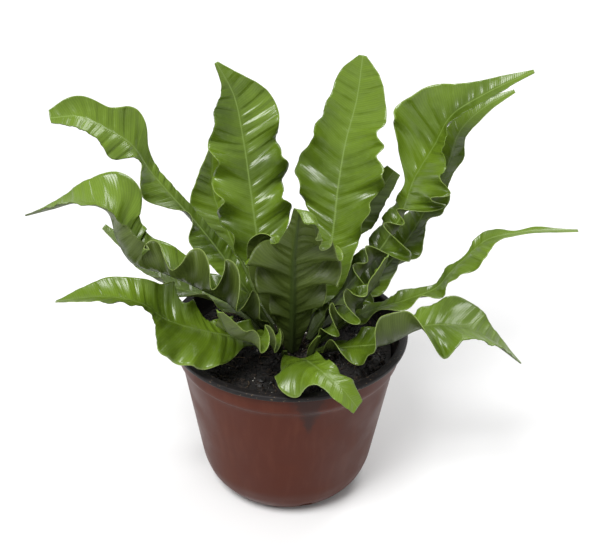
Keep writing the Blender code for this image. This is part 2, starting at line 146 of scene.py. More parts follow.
# %% [markdown]
# ## Floor, light and surroundings
# The plant stands on a sweep of white paper in a white tent, which lights it softly from all
# round. One softbox hangs in front on the left and a weaker one behind on the right. The paper
# glows more the further out it lies, so that it fades into the white of the tent. The floor is part
# of the studio and not of the plant.

# %% Studio
FLOOR_WHITE = "E2E2E2"
FLOOR_HALF = 3.0
GLOW_STARTS = 0.3
GLOW_FULL = 1.2
GLOW = 0.55
TENT_LIGHT = 0.6
LIT_POINT = (0.0, 0.0, 0.12)


def make_floor():
    size = FLOOR_HALF
    corners = [(-size, -size, 0), (size, -size, 0), (size, size, 0), (-size, size, 0)]
    mesh = bpy.data.meshes.new("floor")
    mesh.from_pydata(corners, [], [(0, 1, 2, 3)])
    floor = bpy.data.objects.new("floor", mesh)
    SCENE.collection.objects.link(floor)
    look = {"Base Color": FLOOR_WHITE, "Roughness": 0.9, "Emission Color": "FFFFFF"}
    paper, add, shader = start_material("white_paper_sweep", look)
    spot = add("TexCoord", out="Object")
    away = add("VectorMath", [spot], out="Value", operation="LENGTH")
    glow = add("MapRange", [away, GLOW_STARTS, GLOW_FULL, 0.0, GLOW], **EASED)
    fill(shader, {"Emission Strength": glow})
    mesh.materials.append(paper)


def add_softbox(name, at, towards, size, power):
    """A square area light at one point that faces another, both in metres."""
    light = bpy.data.lights.new(name, "AREA")
    light.size = size
    light.energy = power
    lamp = bpy.data.objects.new(name, light)
    back = np.array(at, float) - np.array(towards, float)
    back /= np.linalg.norm(back)
    side = np.cross([0.0, 1.0, 0.01], back)
    side /= np.linalg.norm(side)
    stand(lamp, at, side, np.cross(back, side), back)


def light_tent(strength):
    """A white backdrop to look at, which lights the object with less than its own brightness."""
    world = bpy.data.worlds.new("white_tent")
    world.use_nodes = True
    add = partial(add_node, world.node_tree)
    background = world.node_tree.nodes["Background"]
    seen = add("LightPath", out="Is Camera Ray")
    shown = add("MapRange", {"Value": seen, "To Min": strength, "To Max": 1.0})
    fill(background, {"Color": "FFFFFF", "Strength": shown})
    SCENE.world = world


make_floor()
light_tent(TENT_LIGHT)
add_softbox("key_softbox", (-0.3, -0.5, 0.95), LIT_POINT, size=0.45, power=13.0)
add_softbox("back_softbox", (0.4, 0.6, 0.9), LIT_POINT, size=0.5, power=6.0)
SCENE.view_settings.view_transform = "Standard"
print("studio ready")

# %% [markdown]
# ## From numbers to a mesh
# Every new piece here is a sheet of points worked out with numpy. One function turns points and
# four-cornered faces into a mesh object. It finds the volume that the faces close in, and if that
# is negative the faces look inwards, so it turns them all round.


# %% Mesh helpers
def signed_volume(points, quads):
    """The sum over each face's triangles of corner . (corner x corner) / 6."""
    total = 0.0
    for corners in ((0, 1, 2), (0, 2, 3)):
        a, b, c = (points[quads[:, k]] for k in corners)
        total += np.einsum("ij,ij->i", a, np.cross(b, c)).sum() / 6
    return total


def make_piece(name, points, quads, finishes, finish_of=None, uv=None, values=None):
    """A smooth mesh object from points in mm and quads. A quad whose last two corners are the same
    is a triangle. uv holds two numbers a point, and values any named numbers, one a point."""
    if signed_volume(points, quads) < 0:
        quads = quads[:, ::-1]
        quads = np.where((quads[:, :1] == quads[:, 1:2]), np.roll(quads, -1, axis=1), quads)
    three = quads[:, 2] == quads[:, 3]
    counts = np.where(three, 3, 4)
    corners = quads[np.column_stack([np.ones((len(quads), 3), bool), ~three])]
    mesh = bpy.data.meshes.new(name)
    mesh.vertices.add(len(points))
    mesh.vertices.foreach_set("co", (points * MM).astype(np.float32).ravel())
    mesh.loops.add(len(corners))
    mesh.loops.foreach_set("vertex_index", corners.astype(np.int32))
    mesh.polygons.add(len(quads))
    mesh.polygons.foreach_set("loop_start", (np.cumsum(counts) - counts).astype(np.int32))
    if finish_of is not None:
        mesh.polygons.foreach_set("material_index", np.asarray(finish_of, np.int32))
    mesh.update(calc_edges=True)
    mesh.shade_smooth()
    if uv is not None:
        layer = mesh.uv_layers.new(name="blade")
        layer.data.foreach_set("uv", uv[corners].astype(np.float32).ravel())
    for label, numbers in (values or {}).items():
        attribute = mesh.attributes.new(label, "FLOAT", "POINT")
        attribute.data.foreach_set("value", np.asarray(numbers, np.float32))
    for finish in finishes:
        mesh.materials.append(finish)
    piece = bpy.data.objects.new(name, mesh)
    SCENE.collection.objects.link(piece)
    return piece


def grid_quads(rows, columns):
    """Quads of a grid of rows x columns points, whose last column joins the first."""
    row, column = np.meshgrid(np.arange(rows - 1), np.arange(columns), indexing="ij")
    right = (column + 1) % columns
    quads = np.stack([row * columns + column, row * columns + right,
                      (row + 1) * columns + right, (row + 1) * columns + column], axis=-1)
    return quads.reshape(-1, 4)


def through(values, at):
    """A smooth curve through evenly spaced values, read at shares 0 to 1 of its length."""
    values = np.asarray(values, float)
    return cubic(np.linspace(0, 1, len(values)), values, at)


def cubic(knots, values, at):
    """Hermite cubic: each span is (2t^3 - 3t^2 + 1) a + (3t^2 - 2t^3) b + span (t^3 - 2t^2 + t) a'
    + span (t^3 - t^2) b', with central-difference slopes a' and b'."""
    slopes = np.gradient(values, knots, axis=0)
    index = np.clip(np.searchsorted(knots, at, side="right") - 1, 0, len(knots) - 2)
    span = knots[index + 1] - knots[index]
    t = (at - knots[index]) / span
    if values.ndim == 2:
        span = span[:, None]
        t = t[:, None]
    joined = values[index] * (2 * t**3 - 3 * t**2 + 1) + values[index + 1] * (3 * t**2 - 2 * t**3)
    bend = slopes[index] * (t**3 - 2 * t**2 + t) + slopes[index + 1] * (t**3 - t**2)
    return joined + span * bend


def uneven(points, size, seed, waves=24):
    """Smooth unevenness, mostly between -1 and 1: sine waves about size mm long, in fixed
    chance directions, and their sum is divided by twice the root of their number."""
    chance = np.random.default_rng(seed)
    way = chance.normal(size=(waves, points.shape[-1]))
    way /= np.linalg.norm(way, axis=1)[:, None]
    way *= 2 * np.pi / (size * chance.uniform(0.6, 1.6, waves))[:, None]
    start = chance.uniform(0, 2 * np.pi, waves)
    return np.sin(points @ way.T + start).mean(axis=-1) * np.sqrt(waves) / 2


# %% [markdown]
# ## The fronds' forms
# A frond of this fern is a strap with one midrib and no leaflets. It could be sculpted or drawn as
# curves, but its form follows a few habits: the midrib leaves the crown in one direction and bends
# over, each half of the blade has its own width, and each margin is longer than the midrib, so it
# waves and curls up. The lists below state those habits for each frond, in millimetres and degrees,
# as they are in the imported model. left and right are for someone at the crown who looks along the
# frond, and each list runs from base to tip.


# %% Frond forms
FRONDS = {}


def frond_form(name, path, heading, left, right=None, left_lift=(8, 8), right_lift=None,
               waves=(4, 0.0, 0.5), left_wave=(0, 0), right_wave=None):
    """path: midrib points from the middle of the soil's top. heading: its direction at the crown.
    left, right: half-widths. lift: how far a margin is turned up. waves: their number, and where in
    a wave each half starts. wave: their slope. The right is as the left where it isn't given."""
    FRONDS[name] = {
        "path": path,
        "heading": heading,
        "left": left,
        "right": right or left,
        "left_lift": left_lift,
        "right_lift": right_lift or left_lift,
        "waves": waves,
        "left_wave": left_wave,
        "right_wave": right_wave or left_wave,
    }


frond_form(
    "frond_back_left",
    path=[(-2, 8, 4), (-12, 14, 26), (-17, 24, 47), (-21, 34, 70), (-25, 43, 93), (-30, 48, 115),
          (-38, 46, 132)],
    heading=108, waves=(7, 0.0, 0.2),
    left=[2, 3, 4, 8, 15, 18, 21, 18, 19, 16, 12, 4, 1],
    right=[2, 5, 11, 17, 15, 20, 17, 21, 17, 20, 17, 8, 1],
    left_wave=[20, 40, 45, 40, 20],
)
frond_form(
    "frond_back_right",
    path=[(4, 8, 4), (16, 14, 27), (21, 24, 51), (23, 33, 72), (26, 41, 93), (31, 47, 115),
          (33, 50, 136)],
    heading=70, waves=(6, 0.35, 0.8),
    left=[2, 4, 6, 9, 11, 12, 13, 12, 11, 16, 20, 23, 22, 18, 19, 15, 15, 13, 12, 9, 2],
    right=[2, 3, 4, 8, 11, 14, 15, 14, 17, 22, 20, 25, 26, 21, 22, 18, 19, 16, 14, 10, 2],
    left_lift=[8, 8, 8, 8, 8, 8, 8, 38, 28, 8, 8], right_lift=[8, 8, 8, 8, 8, 8, 8, 28, 8, 8, 8],
    left_wave=[20, 35, 35, 30, 15], right_wave=[20, 35, 30, 20, 15],
)
frond_form(
    "frond_rear_left",
    path=[(-8, 12, 3), (-21, 30, 19), (-34, 46, 40), (-42, 56, 58), (-42, 62, 79)],
    heading=125,
    left=[2, 8, 15, 15, 3], right=[2, 5, 14, 15, 3],
    left_wave=[28, 28],
)
frond_form(
    "frond_arching_left",
    path=[(-7, 3, 4), (-27, 11, 33), (-47, 20, 57), (-60, 22, 72), (-69, 22, 84), (-78, 20, 100),
          (-87, 17, 108), (-100, 13, 116), (-112, 8, 117)],
    heading=160,
    left=[2, 4, 6, 8, 12, 12, 6, 11, 14, 6, 13, 9, 8, 3],
    right=[2, 2, 3, 6, 7, 5, 5, 5, 5, 7, 16, 10, 10, 4],
    left_lift=[0, 10, 20, -20, -30, -35, 60, -30, -35, 20, -50, -20, 0, 0],
    right_lift=[0, 20, 40, 30, 20, 20, 20, 20, 20, 30, 45, 40, 30, 20],
)
frond_form(
    "frond_long_left",
    path=[(-8, -3, 5), (-21, -14, 28), (-40, -22, 45), (-57, -26, 56), (-72, -27, 62),
          (-78, -27, 74), (-82, -25, 87), (-95, -23, 90), (-108, -20, 85), (-121, -18, 80)],
    heading=200, waves=(10.5, 0.0, 0.5),
    left=[2, 6, 12, 15, 20, 26, 24, 22, 21, 19, 14, 10, 9, 6, 4, 1],
    right=[2, 5, 8, 10, 11, 12, 13, 15, 18, 18, 18, 24, 19, 13, 7, 1],
    left_lift=[0, 20, 10, 60, 50, 85, 75, 80, 80, 70, 60, 10, -10, -10, 0, 0],
    right_lift=[0, 20, 40, 40, 40, 45, 50, 50, 55, 55, 50, 55, 45, 35, 20, 0],
    left_wave=[0, 70, 80, 70, 0, 0, 0, 0], right_wave=[0, 30, 30, 10, 0, 0, 0, 0],
)
frond_form(
    "frond_low_left",
    path=[(-10, -10, 4), (-26, -22, 18), (-42, -30, 27), (-57, -34, 35), (-68, -36, 45),
          (-84, -36, 48), (-107, -36, 45)],
    heading=205,
    left=[2, 4, 5, 9, 17, 22, 24, 23, 22, 6, 7, 9, 11, 9, 5, 1],
    right=[2, 4, 6, 9, 9, 8, 15, 12, 20, 15, 13, 12, 11, 8, 5, 1],
    left_lift=[0, 10, 0, -20, -45, -55, -60, -60, -55, -20, 0, 0, 0, 0, 0, 0],
    right_lift=[0, 20, 30, 50, 30, 20, 60, 80, 70, 60, 60, 60, 50, 40, 30, 0],
)
frond_form(
    "frond_mid_left",
    path=[(-14, 1, 3), (-27, 4, 18), (-45, 8, 23), (-61, 12, 26), (-76, 16, 37), (-94, 20, 54)],
    heading=180,
    left=[2, 8, 10, 9, 7, 3],
    left_wave=[45, 45],
)
frond_form(
    "frond_front",
    path=[(2, -13, 4), (2, -18, 28), (2, -24, 47), (2, -30, 66), (3, -37, 83), (4, -45, 97),
          (5, -53, 104), (8, -61, 102)],
    heading=-90, waves=(7, 0.0, 0.4),
    left=[3, 7, 13, 20, 24, 17, 15, 15, 6], right=[3, 8, 12, 18, 22, 9, 4, 3, 2],
    left_lift=[8, 8, 8, 8, 8, -20, -90, -110, -60], right_lift=[8, 8],
    left_wave=[10, 45, 60, 55, 45, 20, 0], right_wave=[10, 45, 55, 55, 30, 10, 0],
)
frond_form(
    "frond_broad_right",
    path=[(10, -2, 4), (28, 16, 23), (46, 26, 42), (56, 32, 59), (61, 35, 77), (70, 36, 96),
          (76, 35, 111), (91, 31, 125), (112, 28, 138)],
    heading=20, waves=(13, 0.0, 0.5),
    left=[2, 6, 8, 9, 9, 9, 9, 7, 5, 19, 28, 22, 12, 7, 4, 1],
    right=[2, 5, 10, 18, 18, 14, 16, 18, 14, 14, 24, 26, 20, 15, 12, 8, 6, 5, 4, 2, 1],
    left_lift=[0, 20, 30, 20, 40, 20, 40, 20, 60, 85, 90, 60, 40, 30, 20, 0],
    right_lift=[0, 20, 70, -40, -20, 100, 60, -40, 90, 30, -30, -20, -20, 0, 20, 40, 20, 10, 0, 0,
                0],
    left_wave=[0, 30, 40, 30, 10, 0, 0, 0], right_wave=[0, 60, 75, 60, 20, 0, 0, 0],
)
frond_form(
    "frond_slim_right",
    path=[(12, 7, 3), (36, 27, 14), (58, 44, 32), (72, 54, 54), (81, 60, 74), (86, 62, 93),
          (97, 62, 106), (111, 62, 115)],
    heading=35, waves=(6, 0.0, 0.5),
    left=[2, 8, 12, 12, 11, 9, 6, 1],
    left_wave=[45, 45],
)
frond_form(
    "frond_short_right",
    path=[(9, 13, 3), (19, 33, 26), (33, 47, 45), (45, 54, 60), (53, 58, 71)],
    heading=55, waves=(3.5, 0.0, 0.5),
    left=[2, 9, 13, 12, 5], right=[2, 5, 9, 10, 5],
    left_wave=[45, 45],
)
frond_form(
    "frond_whip_right",
    path=[(15, -4, 4), (35, -6, 22), (59, -7, 33), (72, -7, 40), (78, -7, 49), (86, -7, 59),
          (92, -7, 66), (108, -7, 71), (135, -7, 73)],
    heading=-8, waves=(5, 0.0, 0.5),
    left=[2, 4, 4, 5, 6, 7, 5, 3, 5, 2, 5, 5, 2, 3, 2, 1],
    right=[2, 5, 7, 8, 8, 8, 8, 9, 9, 11, 14, 7, 3, 2, 2, 1],
    left_lift=[0, 20, -20, 40, -20, 30, 30, 30, 20, 20, 30, 30, 20, 30, 10, 0],
    right_lift=[0, -20, 30, -30, 30, -30, 20, -30, -10, -40, -30, 0, 0, 0, 0, 0],
)
frond_form(
    "frond_low_right",
    path=[(13, -12, 4), (28, -24, 15), (46, -31, 23), (64, -34, 35), (81, -34, 35), (95, -34, 28),
          (111, -33, 15)],
    heading=-30,
    left=[2, 5, 9, 11, 11, 11, 12, 15, 20, 18, 12, 7, 1],
    right=[2, 4, 11, 12, 14, 20, 16, 20, 15, 13, 10, 6, 1],
    left_lift=[0, 20, -20, 40, 20, 30, 20, 30, 30, 30, 20, 10, 0],
    right_lift=[0, 0, 80, -50, 0, 80, 90, -80, -20, -10, 0, 0, 0],
)
frond_form(
    "frond_drooping_front",
    path=[(5, -20, 4), (7, -33, 14), (11, -48, 22), (17, -60, 25), (25, -67, 22), (32, -70, 14)],
    heading=-85,
    left=[3, 4, 7, 7, 7, 8, 9, 5], right=[3, 7, 11, 18, 19, 8, 7, 4],
    left_lift=[0, 0, 20, 30, 20, 0, -20, 0], right_lift=[0, 0, -20, -70, -90, -50, -30, -20],
    left_wave=[20, 40, 40], right_wave=[10, 40, 40],
)
frond_form(
    "frond_young",
    path=[(0, -1, 6), (-8, 3, 27), (-14, 4, 47), (-14, 0, 60), (-8, -6, 65), (-4, -9, 60)],
    heading=-80, waves=(2, 0.0, 0.5),
    left=[2, 6, 8, 7, 5, 2],
    left_wave=[20, 20],
)
frond_form(
    "frond_inner_right",
    path=[(10, -9, 5), (21, -13, 19), (31, -16, 31), (37, -19, 42), (42, -22, 54), (45, -25, 67)],
    heading=-25, waves=(4.5, 0.0, 0.5),
    left=[2, 5, 9, 10, 10, 7, 2], right=[2, 5, 13, 16, 14, 8, 2],
    left_wave=[40, 60, 60, 40], right_wave=[40, 80, 80, 40],
)
frond_form(
    "frond_inner_left",
    path=[(-4.5, -14, 5), (-10, -27, 22), (-19, -44, 32), (-26, -56, 44), (-30, -60, 57)],
    heading=235, waves=(4.5, 0.0, 0.5),
    left=[2, 6, 12, 14, 10, 2], right=[2, 4, 10, 12, 9, 2],
    left_lift=[20, 20],
    left_wave=[40, 75, 75, 40], right_wave=[40, 70, 70, 40],
)
frond_form(
    "frond_rear_low_left",
    path=[(-2, 15, 3), (-8, 36, 16), (-14, 56, 22), (-20, 74, 18), (-25, 88, 7)],
    heading=100, waves=(4, 0.2, 0.7),
    left=[2, 4, 11, 13, 9, 2], right=[2, 6, 10, 12, 9, 2],
    left_wave=[35, 35],
)
frond_form(
    "frond_rear_low_right",
    path=[(3, 17, 3), (12, 37, 16), (20, 57, 23), (27, 75, 20), (34, 89, 9)],
    heading=75, waves=(4.5, 0.0, 0.5),
    left=[2, 6, 12, 13, 9, 2], right=[2, 5, 11, 12, 9, 2],
    left_wave=[35, 35],
)
frond_form(
    "sprout_front",
    path=[(10.5, -17, 3), (13, -20, 13), (15, -22, 20)],
    heading=-60, waves=(2, 0.0, 0.5),
    left=[1.5, 2.5, 2.5, 1],
    left_lift=[10, 10],
    left_wave=[10, 10],
)
frond_form(
    "sprout_left",
    path=[(-1, -19, 3), (-1.5, -21.5, 8), (-1.5, -23.5, 12)],
    heading=265, waves=(2, 0.0, 0.5),
    left=[1, 1.6, 1.6, 1],
    left_lift=[10, 10],
    left_wave=[10, 10],
)
print("fronds:", len(FRONDS))

# %% [markdown]
# ## The midrib and the blade
# The midrib is a smooth curve through its points. At each point the blade needs a sideways and an
# upward direction. Blender's curves would work them out too, but they can flip where a curve is
# steep, so they are carried along step by step here, always square to the midrib and never turned
# about it. Each half of the blade then grows outwards as a running sum of short steps whose slope
# changes, and that keeps its true width however much it curls.

# %% Blade surface
SOIL_TOP = 79.0
STEP = 0.62
FEWEST_STEPS = 24
HALF_STEPS = 17
LEAST_HALF_WIDTH = 0.5
BASE_SLOPE = np.radians(10)
LIFT_POWER = 0.8
WAVE_POWER = 1.2
WAVE_LAG = 0.25
RUFFLE_LENGTH = 13.0
RUFFLE_SLOPE = np.radians(18.0)
RUFFLE_POWER = 2.5
RUFFLE_LAG = 0.2
RUFFLED_WIDTH = 8
SWEEP = 0.15
SWEEP_POWER = 1.5


def midrib(frond):
    """Shares along a frond's midrib, its length, its points, and its ahead, side and up directions.

    side(k) = side(k-1) less its part along the midrib, made unit length; up = side x ahead."""
    points = np.asarray(frond["path"], float) + [0, 0, SOIL_TOP]
    lengths = np.linalg.norm(np.diff(points, axis=0), axis=1)
    knots = np.concatenate([[0], np.cumsum(lengths)]) / lengths.sum()
    at = np.linspace(0, 1, max(FEWEST_STEPS, round(lengths.sum() / STEP)) + 1)
    centre = cubic(knots, points, at)
    ahead = np.gradient(centre, at, axis=0)
    ahead /= np.linalg.norm(ahead, axis=1)[:, None]
    heading = np.radians(frond["heading"])
    side = np.array([np.sin(heading), -np.cos(heading), 0.0])
    sides = []
    for direction in ahead:
        side = side - direction * (side @ direction)
        side /= np.linalg.norm(side)
        sides.append(side)
    sides = np.array(sides)
    return at, lengths.sum(), centre, ahead, sides, np.cross(sides, ahead)


def blade(frond, seed):
    """The blade's middle surface, and for each point its share along, its length along in mm and
    its signed distance from the midrib in mm.

    slope = base + lift out^0.8 + waves out^1.2 sin(turns) + ruffle out^2.5 sin(turns); a half's
    points are the sums of cos(slope) sideways and sin(slope) upwards, times its width."""
    at, length, centre, ahead, sides, ups = midrib(frond)
    chance = np.random.default_rng(seed)
    out = np.linspace(0, 1, HALF_STEPS + 1) ** 1.25
    steps = np.diff(out)
    count, *phases = frond["waves"]
    halves = []
    distances = []
    for sign, side, phase in ((-1, "left", phases[0]), (1, "right", phases[1])):
        width = np.maximum(through(frond[side], at), LEAST_HALF_WIDTH)[:, None]
        lift = np.radians(through(frond[side + "_lift"], at))[:, None] * out**LIFT_POWER
        shape = np.sin(np.pi * np.clip(at * 1.1, 0, 1))[:, None]
        wave = np.radians(through(frond[side + "_wave"], at))[:, None] * shape * out**WAVE_POWER
        wave = wave * np.sin(2 * np.pi * (count * at[:, None] + phase - WAVE_LAG * out))
        drift = through(chance.uniform(-0.35, 0.35, 9), at)[:, None]
        turns = at[:, None] * length / RUFFLE_LENGTH + drift + chance.uniform()
        edge = RUFFLE_SLOPE * shape * out**RUFFLE_POWER * np.clip(width / RUFFLED_WIDTH, 0, 1)
        ruffle = edge * np.sin(2 * np.pi * (turns - RUFFLE_LAG * out))
        slope = BASE_SLOPE + lift + wave + ruffle
        middle = (slope[:, 1:] + slope[:, :-1]) / 2
        start = np.zeros((len(at), 1))
        flat, rise = (np.concatenate([start, np.cumsum(part(middle) * steps, axis=1)], axis=1)
                      for part in (np.cos, np.sin))
        sweep = SWEEP * out**SWEEP_POWER * np.sin(np.pi * at)[:, None]
        halves.append(
            centre[:, None]
            + (sign * flat * width)[..., None] * sides[:, None]
            + (rise * width)[..., None] * ups[:, None]
            + (sweep * width)[..., None] * ahead[:, None]
        )
        distances.append(sign * width * out)
    surface = np.concatenate([halves[0][:, :0:-1], halves[1]], axis=1)
    distance = np.concatenate([distances[0][:, :0:-1], distances[1]], axis=1)
    along = np.broadcast_to(at[:, None] * length, distance.shape)
    share = np.broadcast_to(at[:, None], distance.shape)
    return surface, share, along, distance


def facing(surface):
    """The unit normal of a grid of points: the cross product of its two differences."""
    normal = np.cross(np.gradient(surface, axis=1), np.gradient(surface, axis=0))
    return normal / np.maximum(np.linalg.norm(normal, axis=-1), 1e-9)[..., None]


# %% [markdown]
# ## Pleats, veins and thickness
# Between its close, parallel side veins the blade is quilted: gentle pleats a few millimetres
# apart, with a finer ripple at each vein. The midrib is a keel under the blade and a narrow ridge
# on top of it. A Solidify modifier would give one even thickness, so both faces are offset from the
# middle surface here instead: each by its own height, the margin thin and the midrib thick. A cross
# section is then a closed ring, top face one way and underside back, and the rings are joined.

# %% Frond solid
PLEAT_LENGTH = 7.5
PLEAT_HEIGHT = 0.32
RIPPLE_LENGTH = 2.1
RIPPLE_HEIGHT = 0.075
VEIN_SLANT = 0.4
HALF_THICKNESS = 0.22
MARGIN_THINNING = 0.1
THINNING_WIDTH = 20
RIDGE_HEIGHT = 0.28
RIDGE_WIDTH = 0.55
KEEL_DEPTH = 1.15
KEEL_WIDTH = 1.0


def quilting(share, along, distance, seed):
    """Height of the pleats and vein ripples in mm. Both run outwards and a little forwards:
    the phase is (along - slant |distance|) / spacing, and it drifts slowly."""
    chance = np.random.default_rng(seed)
    out = np.abs(distance)
    widest = out.max(axis=1, keepdims=True)
    room = np.clip(out / 3, 0, 1) * np.clip((widest - out) / 2 + 0.35, 0, 1)
    drift = through(chance.uniform(-0.5, 0.5, 12), share[:, 0])[:, None]
    other = through(chance.uniform(-0.5, 0.5, 12), share[:, 0])[:, None]
    slant = along - VEIN_SLANT * out
    turns = slant / PLEAT_LENGTH + np.where(distance < 0, drift, other + 0.5)
    pleat = np.sin(2 * np.pi * turns) + 0.4 * np.sin(4.6 * np.pi * turns + 1)
    ripple = np.sin(2 * np.pi * slant / RIPPLE_LENGTH + 3 * drift)
    young = np.clip(widest / 12, 0, 1)
    return room * young * (PLEAT_HEIGHT * pleat + RIPPLE_HEIGHT * ripple)


def make_frond(name, frond, seed, finishes):
    """One closed solid. The top lies half a thickness above the middle surface, thinning to the
    margin, plus a ridge e^-(distance / width)^2 on the midrib. The underside lies the same depth
    below it, plus a keel of that form. Ridge and keel fade towards the tip."""
    surface, share, along, distance = blade(frond, seed)
    height = quilting(share, along, distance, seed + 500)
    surface = surface + height[..., None] * facing(surface)
    normal = facing(surface)
    out = np.abs(distance)
    thin = HALF_THICKNESS - MARGIN_THINNING * np.clip(out / THINNING_WIDTH, 0, 1)
    ridge = RIDGE_HEIGHT * np.exp(-((out / RIDGE_WIDTH) ** 2)) * (1 - 0.6 * share)
    keel = KEEL_DEPTH * np.exp(-((out / KEEL_WIDTH) ** 2)) * (1 - 0.8 * share)
    top = surface + (thin + ridge)[..., None] * normal
    under = surface - (thin + keel)[..., None] * normal
    rings = np.concatenate([top, under[:, ::-1]], axis=1)
    rows, columns = rings.shape[:2]
    half = columns // 2
    quads = grid_quads(rows, columns)
    is_under = (np.arange(len(quads)) % columns) >= half
    left = np.arange(half - 1)
    cap = np.stack([left, left + 1, columns - 2 - left, columns - 1 - left], axis=1)
    quads = np.concatenate([quads, cap[:, ::-1], cap + (rows - 1) * columns])
    is_under = np.concatenate([is_under, np.zeros(2 * (half - 1), bool)])
    margin = out / out.max(axis=1, keepdims=True)
    fields = (along, distance, share, margin)
    both = [np.concatenate([field, field[:, ::-1]], axis=1).ravel() for field in fields]
    uv = np.column_stack([both[0], both[1]]) * MM
    values = {"share": both[2], "margin": both[3]}
    return make_piece(name, rings.reshape(-1, 3), quads, finishes, is_under, uv, values)


# %% [markdown]
# ## Frond finishes
# A fern frond is living leaf tissue under a waxy skin. The upper side is a clear yellow-green with
# a wet-looking gloss and a pale midrib. The underside is duller and greyer because of its air
# pores, and its greens are also darker than the upper side's as painted shade, for the side that
# faces away from the light. Its broad midrib is a little darker. Both show fine darker veins, about
# a millimetre apart, that lean forwards, and both end in a very dark stalk at the base. The pattern
# follows each frond through its UV map, which holds the length along it and the distance from its
# midrib.

# %% Frond materials
VEIN_SPACING = 1.05
RIB_AT_TIP = 0.35
CLOUD_SCALE = 38.0
FLECK_SCALE = 420.0
MARGIN_COLOUR = "93A55A"
STALK_COLOUR = "1A200C"


def leaf_finish(name, greens, midrib_colour, roughness, gloss, vein_share, rib_at_base):
    """Waxy leaf skin. Its colour runs between greens with a slow cloudiness, with veins of the
    darker green, pale margins, and a midrib whose colour narrows from base to tip."""
    made, add, shader = start_material(name, {"Roughness": roughness, "Specular IOR Level": gloss})
    uv = add("UVMap", uv_map="blade")
    place = add("SeparateXYZ", [uv]).node.outputs
    out = add("Math", [place["Y"]], operation="ABSOLUTE")
    share = add("Attribute", out="Fac", attribute_name="share")
    margin = add("Attribute", out="Fac", attribute_name="margin")
    spot = add("TexCoord", out="Object")
    cloud = add("TexNoise", {"Vector": spot, "Scale": CLOUD_SCALE, "Detail": 3.0})
    fleck = add("TexNoise", {"Vector": spot, "Scale": FLECK_SCALE, "Detail": 2.0})

    slant = add("Math", [out, -VEIN_SLANT, place["X"]], operation="MULTIPLY_ADD")
    bent = add("Math", [cloud, 4 * MM, slant], operation="MULTIPLY_ADD")
    turns = add("Math", [bent, 2 * np.pi / (VEIN_SPACING * MM)], operation="MULTIPLY")
    ripple = add("Math", [turns], operation="SINE")
    stripe = add("Math", [ripple, 0.5, 0.5], operation="MULTIPLY_ADD")
    vein = add("Math", [stripe, vein_share], operation="MULTIPLY")
    hue = add("Math", [share, 0.25, cloud], operation="MULTIPLY_ADD")
    skin = add("ValToRGB", [hue], stops=greens)
    skin = add("Mix", {0: vein, 6: skin, 7: greens[0][1]}, **COLOURS)
    pale = add("MapRange", [fleck, 0.5, 0.8, 0.0, 0.16], **EASED)
    skin = add("Mix", {0: pale, 6: skin, 7: midrib_colour}, **COLOURS)

    width = add("MapRange", [share, 0.0, 1.0, rib_at_base * MM, RIB_AT_TIP * MM], **EASED)
    nearness = add("Math", [out, width], operation="DIVIDE")
    rib = add("MapRange", [nearness, 0.5, 1.2, 0.7, 0.0], **EASED)
    skin = add("Mix", {0: rib, 6: skin, 7: midrib_colour}, **COLOURS)
    edge = add("MapRange", [margin, 0.965, 1.0, 0.0, 0.4], **EASED)
    skin = add("Mix", {0: edge, 6: skin, 7: MARGIN_COLOUR}, **COLOURS)
    stalk = add("MapRange", [share, 0.04, 0.26, 0.72, 0.0], **EASED)
    skin = add("Mix", {0: stalk, 6: skin, 7: STALK_COLOUR}, **COLOURS)
    height = add("Math", [fleck, 0.6, stripe], operation="MULTIPLY_ADD")
    bump = add("Bump", {"Height": height, "Strength": 0.35, "Distance": 0.08 * MM})
    fill(shader, {"Base Color": skin, "Normal": bump})
    return made


upper_skin = leaf_finish(
    "frond_upper_skin",
    [(0.30, "2E4008"), (0.75, "5C741A")],
    "6F8540",
    roughness=0.3,
    gloss=0.42,
    vein_share=0.2,
    rib_at_base=0.75,
)
# Underside greens darker than the upper side's: painted shade, as this side faces away from the
# light.
under_skin = leaf_finish(
    "frond_underside_skin",
    [(0.30, "26310B"), (0.75, "485620")],
    "2F3D18",
    roughness=0.46,
    gloss=0.25,
    vein_share=0.3,
    rib_at_base=2.4,
)

# %% Make the fronds
FIRST_SEED = 11
for order, (name, form) in enumerate(FRONDS.items()):
    piece = make_frond(name + "_blade", form, FIRST_SEED + order, [upper_skin, under_skin])
    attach(piece, "root")
    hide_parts(name)
    points = np.array([vertex.co for vertex in piece.data.vertices])
    low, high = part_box(name)
    proud = max((np.array(low) - points.min(0)).max(), (points.max(0) - np.array(high)).max())
    print(f"{name}: {len(piece.data.polygons)} faces, {proud / MM:.1f} mm past its solid")

# %% [markdown]
# ## Pot
# A nursery pot of this kind is drawn from one heated sheet of polypropylene, brown on the outside
# and black on the inside, and its rim is rolled over, so the black side shows as a band. It is one
# turned profile. Corners are rounded with short curves, and the straight runs keep points close
# together, so that smooth shading stays even.

# %% Pot profile
POT_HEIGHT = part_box("pot")[1][2] / MM
RIM_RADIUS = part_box("pot")[1][0] / MM
COLLAR_RADIUS = RIM_RADIUS - 3.0
COLLAR_DEPTH = 12.5
COLLAR_DRAFT = 0.6
STEP_RISE = 1.5
RIM_BAND = 2.8
WALL_TOP_RADIUS = RIM_RADIUS - 5.5
WALL_FOOT_RADIUS = RIM_RADIUS - 15.5
FOOT_HEIGHT = 16.0
FOOT_RADIUS = RIM_RADIUS - 28.0
WALL = 1.2
TURNS = 224
LONGEST_RUN = 1.6


